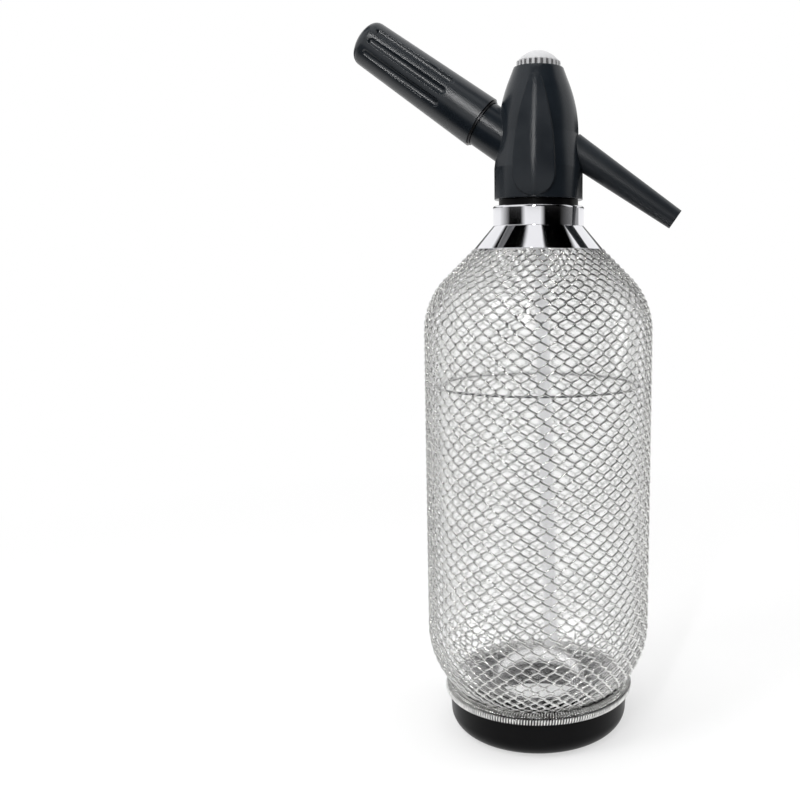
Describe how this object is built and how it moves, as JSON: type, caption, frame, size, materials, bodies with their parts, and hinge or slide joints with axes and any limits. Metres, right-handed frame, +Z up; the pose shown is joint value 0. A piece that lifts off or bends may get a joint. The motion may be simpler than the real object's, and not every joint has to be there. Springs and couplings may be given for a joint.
{
  "type": "soda siphon",
  "caption": "Soda siphon: mesh-covered glass bottle on a base cup, screw-on head with push button, slanting spout and fluted gas charger holder.",
  "frame": {"origin": "centre of the underside of the base cup, on the bottle's axis", "axes": "+Z up along the bottle, +X towards the spout, -X towards the charger holder, -Y the front with a leaf panel"},
  "size_m": [0.1478, 0.105, 0.3258],
  "materials": {
    "glass": "clear polished",
    "wire": "bright drawn wire",
    "base_black": "satin moulded",
    "cushion": "matte",
    "ferrule": "mirror polished",
    "bush": "satin moulded",
    "riser": "translucent natural",
    "seal": "matte",
    "head": "satin moulded",
    "brass": "turned",
    "steel": "turned",
    "inner_plastic": "moulded",
    "button": "silver gloss",
    "charger": "drawn and plated",
    "washer": "blackened"
  },
  "bodies": {
    "bottle": {"glass_bottle": "glass", "mesh_sleeve": "wire", "garter_spring": "wire", "base_cup": "base_black", "bottle_cushion": "cushion", "neck_ferrule": "ferrule", "neck_bush": "bush"},
    "riser": {"lip_gasket": "seal", "riser_flange": "inner_plastic", "riser_tube": "riser"},
    "head_washer": {"head_seal": "seal"},
    "head": {"head_body": "head", "spout": "head", "spout_seal": "seal", "valve_seat": "brass", "stem_seal": "seal", "stem_guide": "inner_plastic", "return_spring": "steel", "charger_nipple": "brass", "piercing_pin": "steel", "charger_gasket": "seal", "check_sleeve": "seal"},
    "button": {"push_button": "button", "button_plunger": "inner_plastic", "valve_stem": "steel", "valve_disc": "seal", "disc_retainer": "brass"},
    "holder_ring": {"holder_washer": "washer"},
    "charger": {"gas_charger": "charger"},
    "holder": {"holder_sleeve": "head", "holder_insert": "brass"}
  },
  "joints": [
    {"name": "riser_lift_out", "type": "slide", "parent": "bottle", "child": "riser", "axis": [0, 0, 1], "range_m": [0, 0.23]},
    {"name": "head_rise", "type": "slide", "parent": "riser", "child": "head_washer", "axis": [0, 0, 1], "range_m": [0, 0.0121]},
    {"name": "head_unscrew", "type": "hinge", "parent": "head_washer", "child": "head", "pos_m": [0, 0, 0.24727], "axis": [0, 0, 1], "range_deg": [0, 1080]},
    {"name": "button_press", "type": "slide", "parent": "head", "child": "button", "axis": [0, 0, -1], "range_m": [0, 0.004], "stiffness_N_per_m": 1500, "springref_m": -0.003, "deforming": ["return_spring"]},
    {"name": "holder_pull_off", "type": "slide", "parent": "head", "child": "holder_ring", "axis": [-0.8211, 0, 0.5707], "range_m": [0, 0.09]},
    {"name": "holder_rise", "type": "slide", "parent": "holder_ring", "child": "charger", "axis": [-0.8211, 0, 0.5707], "range_m": [0, 0.0081]},
    {"name": "holder_unscrew", "type": "hinge", "parent": "charger", "child": "holder", "pos_m": [-0.02587, 0, 0.28174], "axis": [-0.8211, 0, 0.5707], "range_deg": [0, 1440]}
  ],
  "couplings": [
    {"joint": "head_rise", "follows": "head_unscrew", "m_per_rad": 0.00063662},
    {"joint": "holder_rise", "follows": "holder_unscrew", "m_per_rad": 0.00031831}
  ]
}
